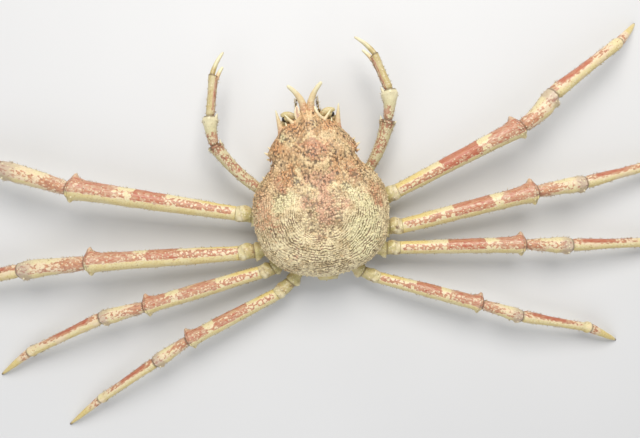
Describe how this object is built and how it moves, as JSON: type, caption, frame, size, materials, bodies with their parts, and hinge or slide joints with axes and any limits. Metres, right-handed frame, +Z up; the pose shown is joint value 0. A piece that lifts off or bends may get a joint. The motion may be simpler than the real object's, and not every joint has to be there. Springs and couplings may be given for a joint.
{
  "type": "japanese spider crab",
  "caption": "Life-size still model of a small Japanese spider crab at rest, long legs spread and claw arms bent forward, with a granular pear-shaped shell and two diverging horns.",
  "frame": {"origin": "on the floor, under the middle of the folded abdomen's flat underside", "axes": "+Z is up, the crab faces -Y, and +X is its left side, along its longest extent"},
  "size_m": [0.8665, 0.3711, 0.076],
  "materials": {
    "shell": "calcified shell, orange-red with cream granules, satin",
    "underside": "calcified shell, pale yellow-cream, satin",
    "horn": "cream spine with a salmon root, smooth satin",
    "eye": "black, glossy",
    "antenna": "yellow-brown feeler joints, satin",
    "leg_root": "yellow-green joints with brown seams, satin",
    "leg": "cream shell with salmon and brick-red patches, satin",
    "leg_tip": "horn yellow with a brown point, smooth",
    "claw": "cream-yellow with red-brown marbling, satin"
  },
  "bodies": {
    "root": {"abdomen": "underside", "antenna_left": "antenna", "antenna_right": "antenna", "carapace": "shell", "claw_left_carpus": "claw", "claw_left_finger": "claw", "claw_left_hip": "claw", "claw_left_merus": "claw", "claw_left_palm": "claw", "claw_right_carpus": "claw", "claw_right_finger": "claw", "claw_right_hip": "claw", "claw_right_merus": "claw", "claw_right_palm": "claw", "eye_left": "eye", "eye_right": "eye", "horn_left": "horn", "horn_right": "horn", "leg_left_1_carpus": "leg", "leg_left_1_dactylus": "leg_tip", "leg_left_1_hip": "leg_root", "leg_left_1_merus": "leg", "leg_left_1_propodus": "leg", "leg_left_2_carpus": "leg", "leg_left_2_dactylus": "leg_tip", "leg_left_2_hip": "leg_root", "leg_left_2_merus": "leg", "leg_left_2_propodus": "leg", "leg_left_3_carpus": "leg", "leg_left_3_dactylus": "leg_tip", "leg_left_3_hip": "leg_root", "leg_left_3_merus": "leg", "leg_left_3_propodus": "leg", "leg_left_4_carpus": "leg", "leg_left_4_dactylus": "leg_tip", "leg_left_4_hip": "leg_root", "leg_left_4_merus": "leg", "leg_left_4_propodus": "leg", "leg_right_1_carpus": "leg", "leg_right_1_dactylus": "leg_tip", "leg_right_1_hip": "leg_root", "leg_right_1_merus": "leg", "leg_right_1_propodus": "leg", "leg_right_2_carpus": "leg", "leg_right_2_dactylus": "leg_tip", "leg_right_2_hip": "leg_root", "leg_right_2_merus": "leg", "leg_right_2_propodus": "leg", "leg_right_3_carpus": "leg", "leg_right_3_dactylus": "leg_tip", "leg_right_3_hip": "leg_root", "leg_right_3_merus": "leg", "leg_right_3_propodus": "leg", "leg_right_4_carpus": "leg", "leg_right_4_dactylus": "leg_tip", "leg_right_4_hip": "leg_root", "leg_right_4_merus": "leg", "leg_right_4_propodus": "leg", "mouthparts": "underside", "thorax": "underside"}
  },
  "joints": []
}
